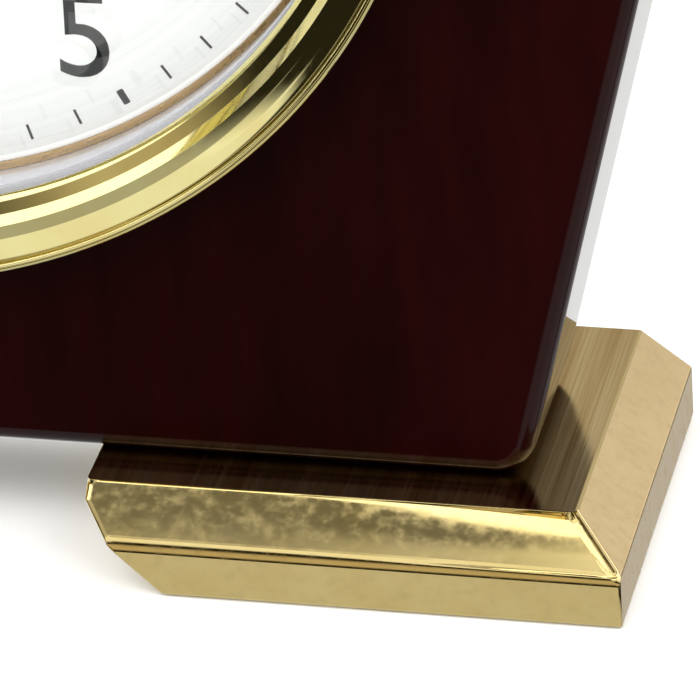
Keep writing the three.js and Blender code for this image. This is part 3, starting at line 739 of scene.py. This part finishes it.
def slice_front_bevel(bm, low, high):
    """Cross cuts that let the bevel's surface curve."""
    bottom = low.z + FOOT_FACE
    rise = high.z - bottom
    rows = 10
    across, up = Vector((1, 0, 0)), Vector((0, 0, 1))
    cuts = [(across * x * MM, across) for x in range(int(low.x / MM) + 1, int(high.x / MM))]
    cuts += [(up * (bottom + rise * row / rows), up) for row in range(1, rows)]
    for point, direction in cuts:
        faces = [face for face in bm.faces if is_front_bevel(face.normal)]
        geometry = set(faces)
        for face in faces:
            geometry.update(face.verts)
            geometry.update(face.edges)
        bmesh.ops.bisect_plane(
            bm, geom=list(geometry), plane_co=point, plane_no=direction, dist=1e-7,
        )


def add_foot(side, sign):
    """Buffed front bevel and front face, brushed top, satin outside and back."""
    low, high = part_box(f"foot_{side}")
    bm = foot_solid(low, high, sign)
    bevels = bm.edges.layers.float.new("bevel_weight_edge")
    for edge in bm.edges:
        on_front = any(is_front_bevel(face.normal) for face in edge.link_faces)
        level = abs(edge.verts[0].co.z - edge.verts[1].co.z) < TOUCH
        at_top = edge.verts[0].co.z > high.z - TOUCH
        soft = on_front and not (level and at_top)
        edge[bevels] = 1.0 if soft else FOOT_ARRIS / FOOT_SOFT
    foot = from_bmesh(f"brass_foot_{side}", bm, [FOOT_BRASS, FOOT_TOP, SATIN_BRASS], sharp=40)
    bevel = foot.modifiers.new("arris", "BEVEL")
    bevel.width = FOOT_SOFT
    bevel.segments = 6
    bevel.limit_method = "WEIGHT"
    bake(foot)
    bm = bmesh.new()
    bm.from_mesh(foot.data)
    slice_front_bevel(bm, low, high)
    for face in bm.faces:
        if face.normal.z > 0.98:
            face.material_index = 1
        elif face.normal.x * sign > 0.4 or face.normal.y > 0.9:
            face.material_index = 2
        else:
            face.material_index = 0
    bm.to_mesh(foot.data)
    bm.free()
    crown_front_bevel(foot, low, high, sign)
    foot.data.shade_smooth()
    even_normals(foot)
    finish_piece(foot, CASE, "brushed_brass", f"foot_{side}")


def add_pad(side):
    """Felt pad, a little uneven everywhere but underneath."""
    low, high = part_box(f"foot_pad_{side}")
    bm = bmesh.new()
    bmesh.ops.create_cube(bm, size=1)
    bmesh.ops.subdivide_edges(bm, edges=bm.edges[:], cuts=12, use_grid_fill=True)
    bm.transform(Matrix.Translation((low + high) / 2) @ Matrix.Diagonal((*(high - low), 1)))
    generator = random.Random(7)
    for vert in bm.verts:
        if vert.co.z > low.z + TOUCH:
            vert.co.z -= generator.uniform(0, PAD_FUZZ)
    pad = from_bmesh(f"felt_pad_{side}", bm, FELT)
    finish_piece(pad, CASE, "green_felt", f"foot_pad_{side}")


# ---- Bezel, lens and dial ------------------------------------------------------------------------

def add_bezel():
    """From the wood inwards: a bead, a narrow groove, a broad dished band, steep steps and a thin
    lip that holds the glass."""
    bead = [(60.15, 0.0), (60.15, -4.6), (59.36, -4.6)]
    groove = [(59.34, -3.9), (59.16, -3.9), (59.14, -4.22)]
    dish = [(58.75, -4.05), (58.2, -3.79)]
    steps = [(57.25, -3.25), (56.28, -2.37), (55.45, -1.355), (54.26, -1.06), (53.72, -0.42)]
    skirt = [(55.8, -0.7), (55.8, 9.0), (56.6, 9.0), (56.6, 0.0)]
    radii = [0.05, 0.37, 0.37]  # bead
    radii += [0.03, 0.03, 0.1]  # groove
    radii += [4, 4]  # dish
    radii += [0.5, 0.08, 0.06, 0.1, 0.03]  # steps
    radii += [0.05] * len(skirt)
    corners = scaled(bead + groove + dish + steps + skirt)
    outline = rounded(corners, [r * MM for r in radii], 6)
    bezel = lathe("brass_bezel", outline, BEZEL_BRASS, segments=256, sharp=50)
    finish_piece(bezel, CASE, "polished_brass", "bezel")


def add_lens():
    """A flat glass disc with ground edges."""
    inner = DROP_IN_RADIUS - LENS_CHAMFER
    outline = [(0, LENS_FRONT), (inner, LENS_FRONT), (DROP_IN_RADIUS, LENS_FRONT + LENS_CHAMFER)]
    outline += [(DROP_IN_RADIUS, LENS_BACK - LENS_CHAMFER), (inner, LENS_BACK), (0, LENS_BACK)]
    lens = lathe("glass_lens", outline, GLASS, closed=False)
    finish_piece(lens, CASE, "clear_glass", "lens")


def add_gasket():
    """Rubber ring between the bezel's lip and the lens."""
    corners = scaled([(54.6, -0.4), (55.4, -0.4), (55.4, 0.0), (54.6, 0.0)])
    gasket = lathe("rubber_gasket", rounded(corners, 0.12 * MM, 3), RUBBER)
    finish_piece(gasket, CASE, "black_rubber", "lens_gasket")


def add_dial_ring():
    """Silvered wall, a gilt step at its foot, and inside it a flat ring on the dial with a whiter, less metallic
    finish: a painted highlight of the dial's bevelled edge.
    """
    wall = scaled([(55.4, 1.55), (55.4, 6.5), (53.68, 6.5), (53.6, 1.85), (54.5, 1.55)])
    step = scaled([(53.66, 5.95), (53.66, 6.72), (53.05, 6.72), (53.1, 6.5)])
    line = scaled([(53.05, 6.74), (53.05, 6.84), (52.55, 6.84), (52.55, 6.76)])
    ring = lathe("silver_wall_ring", rounded(wall, 0.1 * MM, 3), RING_SILVER, sharp=40)
    finish_piece(ring, CASE, "polished_brass", "dial_ring")
    gilt = lathe("gilt_step_ring", rounded(step, 0.04 * MM, 3), GILT, sharp=40)
    finish_piece(gilt, CASE, "polished_brass")
    bright = lathe("dial_edge_painted_highlight", rounded(line, 0.02 * MM, 2), PAINTED_EDGE_HIGHLIGHT, sharp=40)
    finish_piece(bright, CASE, "silvered_dial")


def add_dial():
    """A flat disc in narrow rings, with a hole for the hands' arbor."""
    front, back = DIAL_DEPTH, DIAL_DEPTH + DIAL_THICKNESS
    rings = 24
    step = (DROP_IN_RADIUS - DIAL_HOLE) / rings
    profile = [(DIAL_HOLE + step * ring, front) for ring in range(rings + 1)]
    profile += [(DROP_IN_RADIUS, back), (DIAL_HOLE, back)]
    finish_piece(lathe("spun_dial", profile, DIAL_SILVER), CASE, "silvered_dial", "dial")


def bar_outline(half_width, inner, outer, clockwise):
    """A radial mark with slightly rounded corners, clockwise degrees from twelve."""
    corners = [
        (-half_width, inner), (half_width, inner), (half_width, outer), (-half_width, outer),
    ]
    turn = Matrix.Rotation(math.radians(clockwise), 2)
    return [turn @ point for point in rounded(corners, half_width * 0.35, 2)]


def add_minute_track():
    """Sixty printed marks, every fifth one bolder."""
    bm = bmesh.new()
    inner, outer = MINUTE_TRACK
    for minute in range(60):
        half = (0.37 if minute % 5 == 0 else 0.14) * MM
        outline = bar_outline(half, inner, outer, minute * 6)
        prism(bm, outline, DIAL_DEPTH - INK, DIAL_DEPTH + INK, on_face)
    finish_piece(from_bmesh("minute_track", bm, PRINT, INSERT), CASE, "black_hands")


def add_numeral(hour):
    """A printed upright hour numeral, centred on its place in the ring."""
    curve = bpy.data.curves.new(f"numeral_{hour}", "FONT")
    curve.body = str(hour)
    curve.size = NUMERAL_SIZE
    curve.align_x = "CENTER"
    curve.align_y = "CENTER"
    curve.extrude = INK
    curve.resolution_u = 6
    holder = bpy.data.objects.new("numeral_tool", curve)
    bpy.context.scene.collection.objects.link(holder)
    graph = bpy.context.evaluated_depsgraph_get()
    mesh = bpy.data.meshes.new_from_object(holder.evaluated_get(graph))
    bpy.data.objects.remove(holder)
    angle = math.radians(hour * 30)
    across, up = NUMERAL_RADIUS * math.sin(angle), NUMERAL_RADIUS * math.cos(angle)
    place = Matrix.Translation(on_face(across, up, DIAL_DEPTH))
    upright = Matrix.Rotation(math.radians(90), 4, "X")
    low = Vector(min(vert.co[i] for vert in mesh.vertices) for i in range(3))
    high = Vector(max(vert.co[i] for vert in mesh.vertices) for i in range(3))
    mesh.transform(INSERT @ place @ upright @ Matrix.Translation(-(low + high) / 2))
    mesh.materials.clear()
    finish_piece(link(f"numeral_{hour}", mesh, PRINT), CASE, "black_hands")


# ---- Hands ---------------------------------------------------------------------------------------

def leaning_points(node):
    """A CAD node's corners in the leaning frame."""
    return [INSERT.inverted() @ vert.co for vert in frame["nodes"][node].data.vertices]


def hand_reach(node):
    """(length, clockwise angle from twelve, front depth) of a CAD hand, in the leaning frame."""
    local = leaning_points(node)
    tip = max(local, key=lambda point: math.hypot(point.x, point.z))
    return math.hypot(tip.x, tip.z), math.atan2(tip.x, tip.z), min(point.y for point in local)


def add_hand(node, body, width, tail, hub, hole):
    """A slim leaf-shaped hand with a raised middle line and a round hub."""
    length, angle, front = hand_reach(node)
    edge, back = front + HAND_THICKNESS * HAND_EDGE, front + HAND_THICKNESS
    # height up the hand, and its share of the full width there
    profile = [
        (-tail, 0.3), (-tail * 0.6, 0.42), (0, 0.34), (length * 0.3, 0.6),
        (length * 0.52, 1.0), (length * 0.72, 0.8), (length * 0.9, 0.4), (length * 0.985, 0.1),
    ]
    bm = bmesh.new()
    half = width / 2
    rows = []
    for height, share in profile:
        rows.append([
            bm.verts.new(on_face(-half * share, height, edge)),
            bm.verts.new(on_face(0, height, front)),
            bm.verts.new(on_face(half * share, height, edge)),
            bm.verts.new(on_face(half * share, height, back)),
            bm.verts.new(on_face(-half * share, height, back)),
        ])
    for a, b in zip(rows, rows[1:]):
        for i in range(5):
            j = (i + 1) % 5
            bm.faces.new((a[i], a[j], b[j], b[i]))
    bm.faces.new(rows[0])
    point = bm.verts.new(on_face(0, length, (edge + back) / 2))
    for i in range(5):
        bm.faces.new((rows[-1][i], rows[-1][(i + 1) % 5], point))
    turn = Matrix.Rotation(angle, 4, "Y")
    blade = from_bmesh(f"{node}_blade", bm, BLACK_LACQUER, INSERT @ turn, sharp=20)
    finish_piece(blade, body, "black_hands", node)
    proud = front - 0.05 * MM
    rim = [(hole, proud), (hub, proud), (hub, back), (hole, back)]
    boss = lathe(f"{node}_boss", rounded(rim, 0.1 * MM, 3), BLACK_LACQUER, segments=64)
    finish_piece(boss, body, "black_hands")


def add_second_hand():
    """A tapered needle with a counterweight tail, under a domed cap."""
    length, angle, front = hand_reach("second_hand")
    bm = bmesh.new()
    depth = front + 0.3 * MM
    broad, narrow = 0.45 * MM, 0.12 * MM
    corners = [
        (-broad, -SECOND_TAIL), (broad, -SECOND_TAIL), (narrow, length), (-narrow, length),
    ]
    prism(bm, rounded(corners, 0.08 * MM, 2), depth, depth + 0.3 * MM, on_face)
    turn = Matrix.Rotation(angle, 4, "Y")
    needle = from_bmesh("second_hand_needle", bm, BLACK_LACQUER, INSERT @ turn)
    finish_piece(needle, "second", "black_hands", "second_hand")
    dome = scaled([(0, 0), (1.0, 0), (1.9, 0.35), (1.9, 0.65), (0, 0.65)])
    profile = [(r, front + depth) for r, depth in dome]
    cap = lathe("second_hand_cap", profile, BLACK_LACQUER, segments=48, closed=False)
    finish_piece(cap, "second", "black_hands")


def add_nut():
    """The hexagon nut that holds the movement to the dial."""
    bm = bmesh.new()
    turns = [math.pi / 3 * i for i in range(6)]
    outline = [(NUT_RADIUS * math.cos(turn), NUT_RADIUS * math.sin(turn)) for turn in turns]
    prism(bm, rounded(outline, 0.3 * MM, 3), *NUT_DEPTHS, on_face)
    nut = from_bmesh("brass_nut", bm, BEZEL_BRASS, INSERT)
    finish_piece(nut, CASE, "polished_brass", "mounting_nut")


# ---- Back of the clock ---------------------------------------------------------------------------

def add_back_plate():
    """Round moulded cover with a square window for the movement and a raised ring."""
    corners = [
        (0, PLATE_FRONT), (PLATE_RADIUS, PLATE_FRONT), (PLATE_RADIUS, PLATE_BACK), (0, PLATE_BACK),
    ]
    outline = rounded(corners, [0, 0.1 * MM, 0.8 * MM, 0], 5)
    plate = lathe("back_cover", outline, BLACK_PLASTIC, segments=192, closed=False, sharp=50)
    bm = bmesh.new()
    square = [(u * WINDOW_HALF, v * WINDOW_HALF) for u, v in ((-1, -1), (1, -1), (1, 1), (-1, 1))]
    prism(bm, rounded(square, WINDOW_CORNER, 8), 0, 2 * PLATE_FRONT, on_face)
    cut(plate, from_bmesh("window_tool", bm, BLACK_PLASTIC, INSERT))
    even_normals(plate)
    finish_piece(plate, CASE, "black_plastic", "back_plate")
    near, far = RIB_RADII
    root, crest = PLATE_BACK - RIB_ROOT, PLATE_BACK + RIB_HEIGHT
    rib = [(near, root), (near, crest), (far, crest), (far, root)]
    ring = lathe("back_cover_rib", rounded(rib, 0.2 * MM, 3), BLACK_PLASTIC)
    finish_piece(ring, CASE, "black_plastic")


def add_back_screw(index):
    """Pan head with a cross recess."""
    low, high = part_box(f"back_screw_{index}")
    middle = INSERT.inverted() @ ((low + high) / 2)
    rim, dome = PLATE_BACK + SCREW_RIM, PLATE_BACK + SCREW_DOME
    at = INSERT @ Matrix.Translation((middle.x, 0, middle.z))
    corners = [(0, PLATE_BACK), (SCREW_RADIUS, PLATE_BACK), (SCREW_RADIUS, rim), (0, dome)]
    outline = rounded(corners, [0, 0.1 * MM, 0.9 * MM, 0], 6)
    screw = lathe(f"cross_screw_{index}", outline, STEEL, segments=48, matrix=at, closed=False)
    for angle in (CROSS_TURN, CROSS_TURN + math.pi / 2):
        bm = bmesh.new()
        bmesh.ops.create_cube(bm, size=1)
        size = Matrix.Diagonal((CROSS_LENGTH, 2 * CROSS_DEPTH, CROSS_WIDTH, 1))
        turn = Matrix.Rotation(angle, 4, "Y")
        bm.transform(Matrix.Translation((0, dome, 0)) @ turn @ size)
        cut(screw, from_bmesh("cross_tool", bm, STEEL, at))
    finish_piece(screw, CASE, "plated_steel", f"back_screw_{index}")


def add_knob():
    """Setting knob with a finely fluted edge."""
    centre = INSERT.inverted() @ Vector(JOINTS["setting_spin"]["pos_m"])
    depths = [point.y for point in leaning_points("setting_knob")]
    front, back = min(depths), max(depths)
    # share of the radius, and depth, from the fluted side to the dished end
    rows = [
        (0.955, front), (1.0, front + 0.3 * MM), (1.0, back - 0.5 * MM),
        (0.93, back), (0.62, back), (0.55, back - 0.4 * MM),
    ]
    around = KNOB_FLUTES * 8
    bm = bmesh.new()
    loops = []
    for share, depth in rows:
        loop = []
        for i in range(around):
            turn = 2 * math.pi * i / around
            ripple = FLUTE_RIPPLE * math.cos(turn * KNOB_FLUTES) if share > 0.9 else 0
            radius = KNOB_RADIUS * share + ripple
            loop.append(bm.verts.new((radius * math.cos(turn), depth, radius * math.sin(turn))))
        loops.append(loop)
    for a, b in zip(loops, loops[1:]):
        for i in range(around):
            j = (i + 1) % around
            bm.faces.new((a[i], a[j], b[j], b[i]))
    bm.faces.new(loops[0])
    bm.faces.new(loops[-1])
    at = INSERT @ Matrix.Translation((centre.x, 0, centre.z))
    knob = from_bmesh("fluted_knob", bm, BLACK_PLASTIC, at, sharp=35)
    finish_piece(knob, "setting", "black_plastic", "setting_knob")


def add_cell():
    """Battery: printed sleeve, bright shoulder band, steel ends."""
    local = leaning_points("battery")
    centre_depth = (min(p.y for p in local) + max(p.y for p in local)) / 2
    centre_up = (min(p.z for p in local) + max(p.z for p in local)) / 2
    left, right = min(p.x for p in local), max(p.x for p in local)
    negative_end = [
        (0, left), (6.2 * MM, left), (6.6 * MM, left + 0.3 * MM),
        (CELL_RADIUS - 0.15 * MM, left + 0.35 * MM),
    ]
    sleeve = [
        (CELL_RADIUS, left + 0.6 * MM), (CELL_RADIUS, right - CELL_BAND_LENGTH),
        (CELL_RADIUS, right - CELL_SHOULDER), (CELL_RADIUS - 0.4 * MM, right - 1.7 * MM),
    ]
    positive_end = [
        (5.4 * MM, right - 1.35 * MM), (2.8 * MM, right - CELL_CAP), (2.7 * MM, right - 0.2 * MM),
        (2.4 * MM, right), (0, right),
    ]
    profile = negative_end + sleeve + positive_end
    turn = Matrix.Rotation(math.radians(-90), 4, "Z")
    at = INSERT @ Matrix.Translation((0, centre_depth, centre_up)) @ turn
    skins = [CELL_SKIN, CELL_BAND, STEEL]
    skin_of = [2, 2, 0, 0, 0, 1, 1, 0, 2, 2, 2, 2]  # for each span of the profile
    cell = lathe(
        "dry_cell", profile, skins, segments=96, matrix=at, closed=False,
        material_of=lambda span: skin_of[span],
    )
    finish_piece(cell, "cell", "battery_skin", "battery")


def dress_cad_nodes():
    """The CAD nodes that show as they are get the finish of their material slot."""
    finishes = {
        "polished_brass": BEZEL_BRASS,
        "black_plastic": BLACK_PLASTIC,
        "white_plastic": WHITE_PLASTIC,
        "plated_steel": STEEL,
        "black_rubber": RUBBER,
        "copper_wire": COPPER,
        "circuit_green": BOARD,
    }
    for entry in frame["record"]["subparts"]:
        finish = finishes.get(entry["material_slot"])
        if finish is None:
            continue
        node = frame["nodes"][entry["node"]]
        node.data.materials.clear()
        node.data.materials.append(finish)


# ---- Build ---------------------------------------------------------------------------------------

bpy.context.scene.view_settings.view_transform = "Standard"
add_camera()
add_floor()
add_studio()
add_lights()
dress_cad_nodes()
add_case()
for foot_side, foot_sign in (("left", -1), ("right", 1)):
    add_foot(foot_side, foot_sign)
    add_pad(foot_side)
add_bezel()
add_lens()
add_gasket()
add_dial_ring()
add_dial()
add_minute_track()
for hour_number in range(1, 13):
    add_numeral(hour_number)
add_hand("hour_hand", "hour", width=4.4 * MM, tail=6 * MM, hub=3.9 * MM, hole=2.5 * MM)
add_hand("minute_hand", "minute", width=3.4 * MM, tail=8 * MM, hub=3.0 * MM, hole=1.5 * MM)
add_second_hand()
add_nut()
add_back_plate()
for screw_index in range(1, 5):
    add_back_screw(screw_index)
add_knob()
add_cell()
